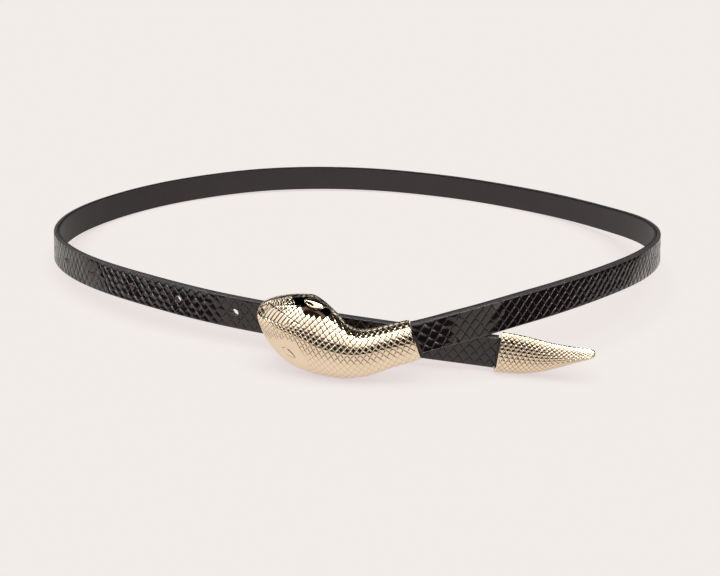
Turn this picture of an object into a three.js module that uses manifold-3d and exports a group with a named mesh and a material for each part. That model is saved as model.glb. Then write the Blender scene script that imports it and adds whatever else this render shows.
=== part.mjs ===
// A narrow patent leather belt that closes with a cast snake's head and ends in a cast tail tip.
// It stands on its lower edge as a loose oval, 14 mm strap on edge, the head and tail in front.
// Millimetres, +Z up, +X to the right of someone who faces the buckle, +Y towards the back of the loop.

import * as THREE from 'three';
import { mergeVertices } from 'three/addons/utils/BufferGeometryUtils.js';
import Module from 'manifold-3d';

const wasm = await Module();
wasm.setup();

// Driving dimensions of the strap: a face ply and a lining ply, glued with a thin line between them
const STRAP = { width: 14, face: 1.7, gap: 0.3, lining: 1.0, liningInset: 0.3, step: 5 };
const THICK = STRAP.face + STRAP.gap + STRAP.lining;

// The strap's run from inside the buckle's neck, round the loop against the clock, to inside the tail tip.
// at: distance along, turn: degrees of bend in 100 mm, lift: height of the lower edge,
// lean: degrees that the upper edge tips towards the inside of the loop
const RUN_START = { x: 7.1, y: 341.5, heading: 2.1 };
const RUN = [
  { at: 0, turn: 51.2, lift: 10.4, lean: -7.2 },
  { at: 15, turn: 46.4, lift: 13.0, lean: -7.8 },
  { at: 30, turn: 41.8, lift: 15.7, lean: -7.4 },
  { at: 60, turn: 33.5, lift: 19.1, lean: -6.3 },
  { at: 105, turn: 35.4, lift: 20.0, lean: -4.4 },
  { at: 155, turn: 47.8, lift: 16.2, lean: 1.9 },
  { at: 205, turn: 55.8, lift: 10.0, lean: 9.1 },
  { at: 255, turn: 47.6, lift: 3.4, lean: 11.5 },
  { at: 310, turn: 36.8, lift: 0.4, lean: 11.3 },
  { at: 365, turn: 30.4, lift: 0.3, lean: 9.6 },
  { at: 420, turn: 30.5, lift: 1.0, lean: 5.0 },
  { at: 475, turn: 35.9, lift: 1.1, lean: 0.5 },
  { at: 530, turn: 44.9, lift: 0.3, lean: -1.0 },
  { at: 585, turn: 55.0, lift: 0.7, lean: 0.0 },
  { at: 640, turn: 60.5, lift: 3.9, lean: 4.8 },
  { at: 695, turn: 49.1, lift: 8.2, lean: 5.6 },
  { at: 750, turn: 33.1, lift: 10.0, lean: 2.5 },
  { at: 800, turn: 20.1, lift: 7.9, lean: -0.4 },
  { at: 840, turn: 10.5, lift: 5.8, lean: -3.8 },
  { at: 880, turn: 1.4, lift: 3.8, lean: -7.5 },
  { at: 920, turn: -7.8, lift: 1.9, lean: -8.5 },
];

// Both sockets have slanted mouths, so the strap's ends are cut on the slant too: mm along per mm of height
const SLANTS = [
  { at: 0, slant: -0.37 },
  { at: 16, slant: -0.37 },
  { at: 40, slant: 0 },
  { at: 880, slant: 0 },
  { at: 907, slant: 0.11 },
  { at: 920, slant: 0.11 },
];

// Strap ends: a narrower tongue runs on inside each socket
const SHOULDER = { neck: 14.0, tail: 909.0, step: 0.2 };
const TONGUE = { neckEnd: 8.5, tailEnd: 914.5, neckLow: 2.5, neckHigh: 8.3, tailLow: 0.6, tailHigh: 12.9 };
const CLEAR = 0.3;

// Stud holes with the slit that lets the stud through, a little wider in the lining
const HOLE = { radius: 1.5, liningRadius: 2.1, height: 7.3, slitLength: 4.2, slitWidth: 0.5 };
const HOLES_AT = [672, 697, 723, 750, 775, 802, 828, 854];
const HOOKED_HOLE = 828;

// The buckle: its back follows an arc from the neck's end to the nose
const SPINE = { x: 22.5, y: 345.8, startHeading: 4, endHeading: -34, length: 66 };

// Sections from the neck's end to the nose. A section runs from a point on the upper outline to one on the
// lower outline, each as distance along the spine and height. keel: the ridge's share of the height,
// depth: how far the ridge stands off the back, full: how square the section is
const HEAD = [
  { highAlong: 4.2, high: 25.4, lowAlong: -0.5, low: 9.9, keel: 0.50, depth: 6.8, full: 2.4 },
  { highAlong: 8.5, high: 24.3, lowAlong: 4.0, low: 8.5, keel: 0.50, depth: 6.9, full: 2.4 },
  { highAlong: 13.0, high: 23.0, lowAlong: 9.9, low: 6.6, keel: 0.51, depth: 7.1, full: 2.4 },
  { highAlong: 17.1, high: 21.8, lowAlong: 14.6, low: 4.4, keel: 0.53, depth: 7.3, full: 2.3 },
  { highAlong: 20.8, high: 21.0, lowAlong: 19.0, low: 2.6, keel: 0.54, depth: 7.7, full: 2.3 },
  { highAlong: 24.3, high: 21.1, lowAlong: 23.2, low: 1.6, keel: 0.54, depth: 8.1, full: 2.2 },
  { highAlong: 27.5, high: 22.7, lowAlong: 27.4, low: 0.7, keel: 0.52, depth: 8.5, full: 2.1 },
  { highAlong: 30.2, high: 25.8, lowAlong: 31.4, low: 0.5, keel: 0.49, depth: 9.0, full: 2.0 },
  { highAlong: 33.6, high: 29.0, lowAlong: 34.9, low: 0.7, keel: 0.46, depth: 9.4, full: 2.0 },
  { highAlong: 36.9, high: 31.6, lowAlong: 38.3, low: 0.9, keel: 0.45, depth: 9.7, full: 2.0 },
  { highAlong: 40.5, high: 33.3, lowAlong: 42.2, low: 1.5, keel: 0.46, depth: 9.8, full: 2.0 },
  { highAlong: 45.0, high: 33.1, lowAlong: 46.2, low: 2.3, keel: 0.48, depth: 9.6, full: 2.1 },
  { highAlong: 50.0, high: 32.1, lowAlong: 50.3, low: 4.1, keel: 0.50, depth: 9.0, full: 2.2 },
  { highAlong: 55.3, high: 30.5, lowAlong: 54.6, low: 6.8, keel: 0.52, depth: 8.0, full: 2.2 },
  { highAlong: 60.1, high: 28.4, lowAlong: 58.2, low: 10.3, keel: 0.53, depth: 6.8, full: 2.2 },
  { highAlong: 62.9, high: 26.2, lowAlong: 60.4, low: 14.5, keel: 0.54, depth: 5.6, full: 2.1 },
  { highAlong: 64.0, high: 23.4, lowAlong: 62.5, low: 18.2, keel: 0.54, depth: 4.0, full: 2.1 },
  { highAlong: 64.9, high: 21.6, lowAlong: 64.1, low: 19.9, keel: 0.50, depth: 2.4, full: 2.1 },
];
const HEAD_RIM = 1.0;
const HEAD_GIRTH = 40;
const HEAD_SCALE = { alongCount: 46, roundCount: 24, raise: 0.35 };
const HEAD_WALL = { side: 2.0, front: 2.2, from: 0.3, to: 0.93 };

// Raised eyes in smooth patches of the head. along: share from neck to nose, round: share from the lower
// rim to the upper one, half sizes and raise in mm
const EYES = [
  { along: 0.54, round: 0.91, halfLong: 4.6, halfWide: 2.4, raise: 0.6, patchLong: 8.5, patchWide: 5.0 },
  { along: 0.67, round: 0.38, halfLong: 3.3, halfWide: 2.0, raise: 0.5, patchLong: 8.5, patchWide: 6.0 },
];

// The tail tip: sections from its mouth to its point, heights measured on the strap from its lower edge.
// Its front has a soft ridge, at this share of the height; full: how square the front is above and below it
const TAIL_RIDGE = { height: 0.42, fullAbove: 1.4, fullBelow: 1.7 };
const TAIL = [
  { along: 0, low: -2.1, high: 16.0, front: 4.4, back: 2.8 },
  { along: 6, low: -2.1, high: 15.4, front: 4.4, back: 2.8 },
  { along: 12, low: -1.5, high: 14.4, front: 4.2, back: 2.7 },
  { along: 18, low: 0.3, high: 13.2, front: 3.9, back: 2.5 },
  { along: 24, low: 2.9, high: 12.4, front: 3.4, back: 2.2 },
  { along: 30, low: 5.7, high: 12.0, front: 2.7, back: 1.8 },
  { along: 33, low: 7.1, high: 11.8, front: 2.2, back: 1.5 },
  { along: 35, low: 8.4, high: 11.3, front: 1.6, back: 1.1 },
  { along: 36, low: 9.2, high: 10.9, front: 1.0, back: 0.8 },
];
const TAIL_MOUTH_AT = 910;
const TAIL_SLANT = 0.11;
// The mouth's lower corner sweeps back, over this height and this far along
const TAIL_FLARE = { reach: 1.0, height: 4, along: 8 };
const TAIL_SCALE = { alongCount: 30, roundCount: 32, raise: 0.22 };

// The stepped stud: a thick stem up to the strap, a thin neck through it and a round button behind it
const POST = { stem: 2.4, neck: 1.15, button: 2.6, buttonHeight: 1.6, foot: 9.2, bossWall: 1.6, sides: 24 };

const GOLD = { color: 0xd9bd8c, roughness: 0.22, metalness: 1.0 };
const PATENT = { color: 0x0b0a0b, roughness: 0.12, metalness: 0.0 };
const MATTE = { color: 0x2b2727, roughness: 0.8, metalness: 0.0 };

const UP = new THREE.Vector3(0, 0, 1);

// Smooth value of one column of a table at a distance, through every row
function column(rows, distance, position, value) {
  let i = 0;
  while (i < rows.length - 2 && distance >= rows[i + 1][position]) i += 1;
  const slope = (k) => {
    const before = rows[Math.max(k - 1, 0)];
    const after = rows[Math.min(k + 1, rows.length - 1)];
    return (after[value] - before[value]) / (after[position] - before[position]);
  };
  const span = rows[i + 1][position] - rows[i][position];
  const u = (distance - rows[i][position]) / span;
  const keepStart = 2 * u ** 3 - 3 * u ** 2 + 1;
  const keepEnd = 3 * u ** 2 - 2 * u ** 3;
  const bendStart = (u ** 3 - 2 * u ** 2 + u) * span * slope(i);
  const bendEnd = (u ** 3 - u ** 2) * span * slope(i + 1);
  return keepStart * rows[i][value] + keepEnd * rows[i + 1][value] + bendStart + bendEnd;
}

// The run's plan: heading and place every half millimetre
const PLAN_STEP = 0.5;
const plan = [];
{
  const length = RUN[RUN.length - 1].at;
  let heading = THREE.MathUtils.degToRad(RUN_START.heading);
  let x = RUN_START.x;
  let y = RUN_START.y;
  for (let at = 0; at <= length; at += PLAN_STEP) {
    plan.push({ x, y, heading });
    const bend = THREE.MathUtils.degToRad(column(RUN, at + PLAN_STEP / 2, 'at', 'turn')) / 100;
    const middle = heading + (bend * PLAN_STEP) / 2;
    x += Math.cos(middle) * PLAN_STEP;
    y += Math.sin(middle) * PLAN_STEP;
    heading += bend * PLAN_STEP;
  }
}

// A frame on the strap's lower edge at a distance: place, along, across the width, and inward
function strapFrame(at) {
  const spot = THREE.MathUtils.clamp(at / PLAN_STEP, 0, plan.length - 1.001);
  const i = Math.floor(spot);
  const share = spot - i;
  const mix = (key) => plan[i][key] + (plan[i + 1][key] - plan[i][key]) * share;
  const heading = mix('heading');
  const along = new THREE.Vector3(Math.cos(heading), Math.sin(heading), 0);
  const level = new THREE.Vector3().crossVectors(UP, along);
  const lean = THREE.MathUtils.degToRad(column(RUN, at, 'at', 'lean'));
  const across = level.clone().multiplyScalar(Math.sin(lean)).addScaledVector(UP, Math.cos(lean));
  const inward = level.clone().multiplyScalar(Math.cos(lean)).addScaledVector(UP, -Math.sin(lean));
  const place = new THREE.Vector3(mix('x'), mix('y'), column(RUN, at, 'at', 'lift'));
  return { place, along, across, inward };
}

// A point in the strap: distance along, height across the width, and depth inward from the outer face
function strapPoint(at, height, depth) {
  const next = Math.max(1, SLANTS.findIndex((row) => row.at >= at));
  const [before, after] = [SLANTS[next - 1], SLANTS[next]];
  const slant = THREE.MathUtils.mapLinear(at, before.at, after.at, before.slant, after.slant);
  const frame = strapFrame(at + slant * (height - STRAP.width / 2));
  const point = frame.place.clone().addScaledVector(frame.across, height);
  return point.addScaledVector(frame.inward, depth - THICK / 2);
}

// A closed body through rings of points, all with the same count, capped at both ends
function loft(rings) {
  const count = rings[0].length;
  const positions = [];
  const triangle = (a, b, c) => positions.push(...a.toArray(), ...b.toArray(), ...c.toArray());
  for (let i = 0; i < rings.length - 1; i += 1) {
    for (let j = 0; j < count; j += 1) {
      const k = (j + 1) % count;
      const [a, b, c, d] = [rings[i][j], rings[i][k], rings[i + 1][k], rings[i + 1][j]];
      if ((i + j) % 2) {
        triangle(a, b, c);
        triangle(a, c, d);
      } else {
        triangle(a, b, d);
        triangle(b, c, d);
      }
    }
  }
  const cap = (ring, flip) => {
    const middle = ring.reduce((sum, point) => sum.add(point), new THREE.Vector3()).divideScalar(count);
    for (let j = 0; j < count; j += 1) {
      const k = (j + 1) % count;
      if (flip) triangle(middle, ring[k], ring[j]);
      else triangle(middle, ring[j], ring[k]);
    }
  };
  cap(rings[0], true);
  cap(rings[rings.length - 1], false);
  const geometry = new THREE.BufferGeometry();
  geometry.setAttribute('position', new THREE.Float32BufferAttribute(positions, 3));
  return geometry;
}

function toSolid(geometry) {
  const bare = geometry.clone();
  bare.deleteAttribute('normal');
  bare.deleteAttribute('uv');
  const merged = mergeVertices(bare, 1e-4);
  const vertProperties = new Float32Array(merged.attributes.position.array);
  const triVerts = new Uint32Array(merged.index.array);
  const flipped = new wasm.Manifold(new wasm.Mesh({ numProp: 3, vertProperties, triVerts }));
  if (flipped.volume() > 0) return flipped;
  for (let i = 0; i < triVerts.length; i += 3) {
    [triVerts[i + 1], triVerts[i + 2]] = [triVerts[i + 2], triVerts[i + 1]];
  }
  return new wasm.Manifold(new wasm.Mesh({ numProp: 3, vertProperties, triVerts }));
}

function toGeometry(solid) {
  const { vertProperties, triVerts } = solid.getMesh();
  const geometry = new THREE.BufferGeometry();
  geometry.setAttribute('position', new THREE.BufferAttribute(vertProperties, 3));
  geometry.setIndex(new THREE.BufferAttribute(triVerts, 1));
  return geometry;
}

// A straight-sided band of the strap through stations of distance, low and high edge
function band(stations, outer, inner) {
  return loft(stations.map(({ at, low, high }) => [
    strapPoint(at, low, outer),
    strapPoint(at, high, outer),
    strapPoint(at, high, inner),
    strapPoint(at, low, inner),
  ]));
}

// Stations of a whole ply: tongue, shoulder, the full run, shoulder, tongue
function plyStations(inset) {
  const low = inset;
  const high = STRAP.width - inset;
  const stations = [
    { at: TONGUE.neckEnd, low: TONGUE.neckLow + inset, high: TONGUE.neckHigh - inset },
    { at: SHOULDER.neck - SHOULDER.step, low: TONGUE.neckLow + inset, high: TONGUE.neckHigh - inset },
    { at: SHOULDER.neck, low, high },
  ];
  const steps = Math.round((SHOULDER.tail - SHOULDER.neck) / STRAP.step);
  for (let i = 1; i <= steps; i += 1) {
    stations.push({ at: SHOULDER.neck + ((SHOULDER.tail - SHOULDER.neck) * i) / steps, low, high });
  }
  stations.push({ at: SHOULDER.tail + SHOULDER.step, low: TONGUE.tailLow + inset, high: TONGUE.tailHigh - inset });
  stations.push({ at: TONGUE.tailEnd, low: TONGUE.tailLow + inset, high: TONGUE.tailHigh - inset });
  return stations;
}

// A matrix that sets a piece's own X along, Y across and Z inward at a place on the strap
function strapMatrix(at, height, depth) {
  const frame = strapFrame(at);
  const matrix = new THREE.Matrix4().makeBasis(frame.along, frame.across, frame.inward);
  return matrix.setPosition(strapPoint(at, height, depth));
}

// Round stud holes, each with its slit towards the start of the run
function holeCutters(radius) {
  const cutters = [];
  for (const at of HOLES_AT) {
    const round = new THREE.CylinderGeometry(radius, radius, THICK * 2, 16);
    round.rotateX(Math.PI / 2).applyMatrix4(strapMatrix(at, HOLE.height, THICK / 2));
    cutters.push(toSolid(round));
    const slit = new THREE.BoxGeometry(HOLE.slitLength, HOLE.slitWidth, THICK * 2);
    slit.translate(-HOLE.slitLength / 2, 0, 0).applyMatrix4(strapMatrix(at, HOLE.height, THICK / 2));
    cutters.push(toSolid(slit));
  }
  return cutters;
}

function makePly(inset, outer, inner, radius) {
  const whole = toSolid(band(plyStations(inset), outer, inner));
  return toGeometry(holeCutters(radius).reduce((solid, cutter) => solid.subtract(cutter), whole));
}

// A socket's space: the tongue with clearance all round, run on past the mouth
function socket(from, to, low, high) {
  const edges = { low: low - CLEAR, high: high + CLEAR };
  const middle = (from + to) / 2;
  return toSolid(band([from, middle, to].map((at) => ({ at, ...edges })), -CLEAR, THICK + CLEAR));
}

// A frame on the buckle's back at a distance from the neck's end
function spineFrame(along) {
  const start = THREE.MathUtils.degToRad(SPINE.startHeading);
  const bend = THREE.MathUtils.degToRad(SPINE.endHeading - SPINE.startHeading) / SPINE.length;
  const heading = start + bend * along;
  const radius = 1 / bend;
  const place = new THREE.Vector3(
    SPINE.x - radius * (Math.sin(heading) - Math.sin(start)),
    SPINE.y + radius * (Math.cos(heading) - Math.cos(start)),
    0,
  );
  const outward = new THREE.Vector3(Math.sin(heading), -Math.cos(heading), 0);
  return { place, outward };
}

function headPoint(along, height, off) {
  const { place, outward } = spineFrame(along);
  return place.addScaledVector(outward, off).setZ(height);
}

const headRows = HEAD.map((row, index) => ({ ...row, index }));

// A point on the head: index along the table, turn from -1 at the lower rim to 1 at the upper rim
function headSurface(index, turn, raise, inset) {
  const value = (key) => column(headRows, index, 'index', key);
  const low = value('low') + inset.side;
  const high = value('high') - inset.side;
  const keel = value('low') + (value('high') - value('low')) * value('keel');
  const power = 2 / value('full');
  const angle = (turn * Math.PI) / 2;
  const rise = Math.sign(turn) * Math.abs(Math.sin(angle)) ** power;
  const off = HEAD_RIM - inset.front + (value('depth') - HEAD_RIM) * Math.cos(angle) ** power;
  const height = rise < 0 ? keel + rise * (keel - low) : keel + rise * (high - keel);
  const share = (height - value('low')) / (value('high') - value('low'));
  const along = value('lowAlong') + (value('highAlong') - value('lowAlong')) * share;
  return headPoint(along, height + raise * Math.sin(angle) * 0.5, off + raise * Math.cos(angle));
}

// How far the surface is raised at a lattice corner: scales, and smooth raised eyes
function headRaise(alongShare, roundShare, odd) {
  const edge = Math.min(1, Math.min(roundShare, 1 - roundShare) * 12, alongShare * 30, (1 - alongShare) * 14);
  const scale = (odd ? 0 : HEAD_SCALE.raise) * Math.max(0, edge);
  for (const eye of EYES) {
    const long = (alongShare - eye.along) * SPINE.length;
    const wide = (roundShare - eye.round) * HEAD_GIRTH;
    const bump = 1 - (long / eye.halfLong) ** 2 - (wide / eye.halfWide) ** 2;
    if (bump > 0) return eye.raise * Math.sqrt(bump);
    if ((long / eye.patchLong) ** 2 + (wide / eye.patchWide) ** 2 < 1) return 0;
  }
  return scale;
}

function headRings(alongCount, roundCount, range, inset, relief) {
  const rings = [];
  for (let i = 0; i <= alongCount; i += 1) {
    const share = range.from + ((range.to - range.from) * i) / alongCount;
    const index = share * (headRows.length - 1);
    const ring = [];
    for (let j = 0; j <= roundCount; j += 1) {
      const raise = relief ? headRaise(share, j / roundCount, (i + j) % 2) : 0;
      ring.push(headSurface(index, (2 * j) / roundCount - 1, raise, inset));
    }
    const backHigh = ring[roundCount].clone();
    const backLow = ring[0].clone();
    const { outward } = spineFrame(column(headRows, index, 'index', 'highAlong'));
    const lowOutward = spineFrame(column(headRows, index, 'index', 'lowAlong')).outward;
    const rim = relief ? HEAD_RIM : HEAD_RIM + 2;
    ring.push(backHigh.addScaledVector(outward, -rim), backLow.addScaledVector(lowOutward, -rim));
    rings.push(ring);
  }
  return rings;
}

// The stud's own frame: Z runs from its foot in the head back through the hooked hole
function postMatrix() {
  const frame = strapFrame(HOOKED_HOLE);
  const matrix = new THREE.Matrix4().makeBasis(frame.along, frame.across, frame.inward);
  return matrix.setPosition(strapPoint(HOOKED_HOLE, HOLE.height, 0));
}

function makeHead() {
  const { alongCount, roundCount } = HEAD_SCALE;
  const none = { side: 0, front: 0 };
  const whole = toSolid(loft(headRings(alongCount, roundCount, { from: 0, to: 1 }, none, true)));
  const hollow = toSolid(loft(headRings(16, 12, HEAD_WALL, HEAD_WALL, false)));
  const pocket = socket(TONGUE.neckEnd - CLEAR, SHOULDER.neck + 8, TONGUE.neckLow, TONGUE.neckHigh);
  const reach = POST.foot + 12;
  const bossRadius = POST.stem + CLEAR + POST.bossWall;
  const boss = new THREE.CylinderGeometry(bossRadius, bossRadius, reach, POST.sides);
  boss.rotateX(Math.PI / 2).translate(0, 0, -POST.foot - reach / 2 + 3.2).applyMatrix4(postMatrix());
  const bore = new THREE.CylinderGeometry(POST.stem + CLEAR, POST.stem + CLEAR, POST.foot + 8, POST.sides);
  bore.rotateX(Math.PI / 2).translate(0, 0, -(POST.foot + 8) / 2).applyMatrix4(postMatrix());
  const seat = toSolid(boss).intersect(whole);
  return toGeometry(whole.subtract(hollow).add(seat).subtract(toSolid(bore)).subtract(pocket));
}

function makePost() {
  const neckLength = THICK + 0.6;
  const profile = [
    [0, -POST.foot - 7.6],
    [POST.stem, -POST.foot - 7.6],
    [POST.stem, -CLEAR],
    [POST.neck, -CLEAR],
    [POST.neck, neckLength - CLEAR],
    [POST.button, neckLength - CLEAR],
    [POST.button, neckLength + POST.buttonHeight * 0.4],
    [POST.button * 0.7, neckLength + POST.buttonHeight],
    [0, neckLength + POST.buttonHeight],
  ];
  const geometry = new THREE.LatheGeometry(profile.map(([r, z]) => new THREE.Vector2(r, z)), POST.sides);
  geometry.rotateX(Math.PI / 2).applyMatrix4(postMatrix());
  return toGeometry(toSolid(geometry));
}

// The tail tip's frame: level along the strap's last heading, leaning as the strap does there
function tailPoint(along, height, depth) {
  const frame = strapFrame(TAIL_MOUTH_AT);
  return frame.place.clone()
    .addScaledVector(frame.along, along)
    .addScaledVector(frame.across, height)
    .addScaledVector(frame.inward, depth);
}

function makeTail() {
  const { alongCount, roundCount, raise } = TAIL_SCALE;
  const last = TAIL[TAIL.length - 1].along;
  const rings = [];
  for (let i = 0; i <= alongCount; i += 1) {
    const along = (last * i) / alongCount;
    const value = (key) => column(TAIL, along, 'along', key);
    const middle = (value('low') + value('high')) / 2;
    const half = (value('high') - value('low')) / 2;
    const ring = [];
    for (let j = 0; j < roundCount; j += 1) {
      const angle = (2 * Math.PI * j) / roundCount;
      const lump = (i + j) % 2 === 0 && i > 0 && i < alongCount - 1 ? raise : 0;
      const height = middle + (half - raise / 2 + lump) * Math.sin(angle);
      const ridge = value('low') + 2 * half * TAIL_RIDGE.height;
      const above = height > ridge;
      const rise = above ? (height - ridge) / (value('high') - ridge) : (ridge - height) / (ridge - value('low'));
      const full = above ? TAIL_RIDGE.fullAbove : TAIL_RIDGE.fullBelow;
      const front = -(value('front') + lump) * Math.max(0, 1 - rise ** full) ** (1 / full);
      const back = (value('back') + lump) * Math.abs(Math.cos(angle)) ** 0.75;
      const tilt = TAIL_SLANT * (1 - along / last) * (height - STRAP.width / 2);
      const corner = Math.max(0, 1 - (height - value('low')) / TAIL_FLARE.height) ** 2;
      const flare = TAIL_FLARE.reach * corner * Math.max(0, 1 - along / TAIL_FLARE.along);
      ring.push(tailPoint(along + tilt - flare, height, Math.cos(angle) < 0 ? front : back));
    }
    rings.push(ring);
  }
  const whole = toSolid(loft(rings));
  const pocket = socket(SHOULDER.tail - 3, TONGUE.tailEnd + CLEAR, TONGUE.tailLow, TONGUE.tailHigh);
  return toGeometry(whole.subtract(pocket));
}

function addPiece(parent, name, geometry, finish) {
  const mesh = new THREE.Mesh(geometry, new THREE.MeshStandardMaterial(finish));
  mesh.name = name;
  parent.add(mesh);
}

const belt = new THREE.Group();
addPiece(belt, 'strap_face', makePly(0, 0, STRAP.face, HOLE.radius), PATENT);
addPiece(belt, 'strap_lining', makePly(STRAP.liningInset, STRAP.face + STRAP.gap, THICK, HOLE.liningRadius), MATTE);
addPiece(belt, 'head_buckle', makeHead(), GOLD);
addPiece(belt, 'hook_post', makePost(), GOLD);
addPiece(belt, 'tail_tip', makeTail(), GOLD);

// The origin is under the middle of the whole belt, on the surface that it stands on
const bounds = new THREE.Box3().setFromObject(belt);
const middle = bounds.getCenter(new THREE.Vector3());
belt.position.set(-middle.x, -middle.y, -bounds.min.z);

export default belt;
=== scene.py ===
"""Looks of a narrow patent leather belt with a cast snake's head buckle and tail tip."""

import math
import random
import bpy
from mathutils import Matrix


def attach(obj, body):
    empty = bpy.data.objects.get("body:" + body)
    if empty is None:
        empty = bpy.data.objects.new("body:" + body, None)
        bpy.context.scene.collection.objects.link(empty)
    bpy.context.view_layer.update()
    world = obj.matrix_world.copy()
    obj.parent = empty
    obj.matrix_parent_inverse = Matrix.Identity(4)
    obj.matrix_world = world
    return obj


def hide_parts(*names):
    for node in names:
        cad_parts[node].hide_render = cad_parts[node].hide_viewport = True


bl_info = {
    "name": "Patent Leather Belt",
    "version": (1, 0, 0),
    "blender": (4, 5, 0),
    "location": "View3D > Sidebar > Belt",
    "description": "Builds the looks of a patent leather belt with a cast snake's head buckle",
    "category": "Add Mesh",
}

from bisect import bisect_right

import bmesh
import bpy
from bpy.props import FloatProperty, FloatVectorProperty, IntProperty, PointerProperty
from mathutils import Matrix, Vector

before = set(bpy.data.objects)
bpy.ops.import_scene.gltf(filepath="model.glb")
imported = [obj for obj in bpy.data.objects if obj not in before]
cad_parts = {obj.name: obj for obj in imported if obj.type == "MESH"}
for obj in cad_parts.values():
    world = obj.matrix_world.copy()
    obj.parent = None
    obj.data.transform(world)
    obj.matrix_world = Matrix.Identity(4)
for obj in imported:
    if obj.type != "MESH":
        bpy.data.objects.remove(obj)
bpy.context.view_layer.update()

MM = 0.001
UP = Vector((0, 0, 1))

# The strap's route is laid out in millimetres from the camera's foot. The loop's middle and the surface
# that the belt stands on, in those coordinates, are the object's origin
ORIGIN = Vector((-5.334, 472.922, 0.075))

# The strap
WIDTH = 14.0
FACE = 1.7
GLUE = 0.3
THICK = 3.0
LINING_INSET = 0.3
START = (7.1, 341.5, 2.1)
# at mm, turn in degrees over 100 mm, lift of the lower edge in mm, lean in degrees
ROUTE = [
    (0, 51.2, 10.4, -7.2), (15, 46.4, 13.0, -7.8), (30, 41.8, 15.7, -7.4), (60, 33.5, 19.1, -6.3),
    (105, 35.4, 20.0, -4.4), (155, 47.8, 16.2, 1.9), (205, 55.8, 10.0, 9.1), (255, 47.6, 3.4, 11.5),
    (310, 36.8, 0.4, 11.3), (365, 30.4, 0.3, 9.6), (420, 30.5, 1.0, 5.0), (475, 35.9, 1.1, 0.5),
    (530, 44.9, 0.3, -1.0), (585, 55.0, 0.7, 0.0), (640, 60.5, 3.9, 4.8), (695, 49.1, 8.2, 5.6),
    (750, 33.1, 10.0, 2.5), (800, 20.1, 7.9, -0.4), (840, 10.5, 5.8, -3.8), (880, 1.4, 3.8, -7.5),
    (920, -7.8, 1.9, -8.5),
]
# Slant of a cut across the strap: at mm, mm along for each mm of height
SLANTS = [(0, -0.37), (16, -0.37), (40, 0.0), (880, 0.0), (907, 0.11), (920, 0.11)]
# How far the gloss curls back over the strap's face: at mm, slope
CURL = [(0, 0.42), (24, 0.42), (30, 0.0), (42, 0.0), (47, 0.45), (122, 0.42), (140, 0.05), (260, 0.3), (640, 0.1),
        (715, 0.0), (735, 0.28), (788, 0.28), (800, 0.0), (920, 0.0)]
NECK_SHOULDER = 14.0
TAIL_SHOULDER = 909.0
# Tongues inside the two sockets: from mm, to mm, low mm, high mm
TONGUES = [(8.5, 16.0, 2.5, 8.3), (907.0, 914.5, 0.6, 12.9)]
HOLES = [672, 697, 723, 750, 775, 802, 828, 854]
HOLE_HEIGHT = 7.3
HOLE_RADIUS = 1.5
LINING_HOLE_RADIUS = 2.1
SLIT = (4.2, 0.5)

# The buckle: its back follows an arc, starting at the neck's end
SPINE = (22.5, 345.8, 4.0, -34.0, 66.0)
RIM = 1.0
# Sections: high along, high, low along, low, ridge's share of the height, depth, fullness
HEAD = [
    (4.2, 25.4, -0.5, 9.9, 0.50, 6.8, 2.4), (8.5, 24.3, 4.0, 8.5, 0.50, 6.9, 2.4),
    (13.0, 23.0, 9.9, 6.6, 0.51, 7.1, 2.4), (17.1, 21.8, 14.6, 4.4, 0.53, 7.3, 2.3),
    (20.8, 21.0, 19.0, 2.6, 0.54, 7.7, 2.3), (24.3, 21.1, 23.2, 1.6, 0.54, 8.1, 2.2),
    (27.5, 22.7, 27.4, 0.7, 0.52, 8.5, 2.1), (30.2, 25.8, 31.4, 0.5, 0.49, 9.0, 2.0),
    (33.6, 29.0, 34.9, 0.7, 0.46, 9.4, 2.0), (36.9, 31.6, 38.3, 0.9, 0.45, 9.7, 2.0),
    (40.5, 33.3, 42.2, 1.5, 0.46, 9.8, 2.0), (45.0, 33.1, 46.2, 2.3, 0.48, 9.6, 2.1),
    (50.0, 32.1, 50.3, 4.1, 0.50, 9.0, 2.2), (55.3, 30.5, 54.6, 6.8, 0.52, 8.0, 2.2),
    (60.1, 28.4, 58.2, 10.3, 0.53, 6.8, 2.2), (62.9, 26.2, 60.4, 14.5, 0.54, 5.6, 2.1),
    (64.0, 23.4, 62.5, 18.2, 0.54, 4.0, 2.1), (64.9, 21.6, 64.1, 19.9, 0.50, 2.4, 2.1),
]
# Size of the head's scales: along the ridge mm, scale's length mm, scale's height mm
HEAD_SCALES = [(0, 2.6, 3.2), (20, 2.5, 3.2), (35, 2.45, 3.3), (50, 2.0, 2.6), (60, 1.8, 2.1), (70.5, 1.5, 1.8)]

# The tail tip: along, low, high, front, back
TAIL = [
    (0, -2.1, 16.0, 4.4, 2.8), (6, -2.1, 15.4, 4.4, 2.8), (12, -1.5, 14.4, 4.2, 2.7),
    (18, 0.3, 13.2, 3.9, 2.5), (24, 2.9, 12.4, 3.4, 2.2), (30, 5.7, 12.0, 2.7, 1.8),
    (33, 7.0, 11.9, 2.4, 1.6), (35, 7.9, 11.6, 2.0, 1.4), (36, 8.5, 11.2, 1.5, 1.1),
]
TAIL_MOUTH = 910
TAIL_SLANT = 0.11
# The front's soft ridge: share of the height, fullness above and below it
TAIL_RIDGE = (0.42, 1.4, 1.7)
# The mouth's lower corner sweeps back: reach, height, how far along
TAIL_FLARE = (1.0, 4, 8)


# How sharp the corners of the flat diamonds are
CORNERS = 12
# The emboss: bevel's share of a cell, dome over a cell in mm, tilt of a cell in mm, bare margin at the strap's edges
EMBOSS_BEVEL = 0.12
EMBOSS_DOME = 0.05
EMBOSS_TILT = 0.06
EMBOSS_MARGIN = 0.45
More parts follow.
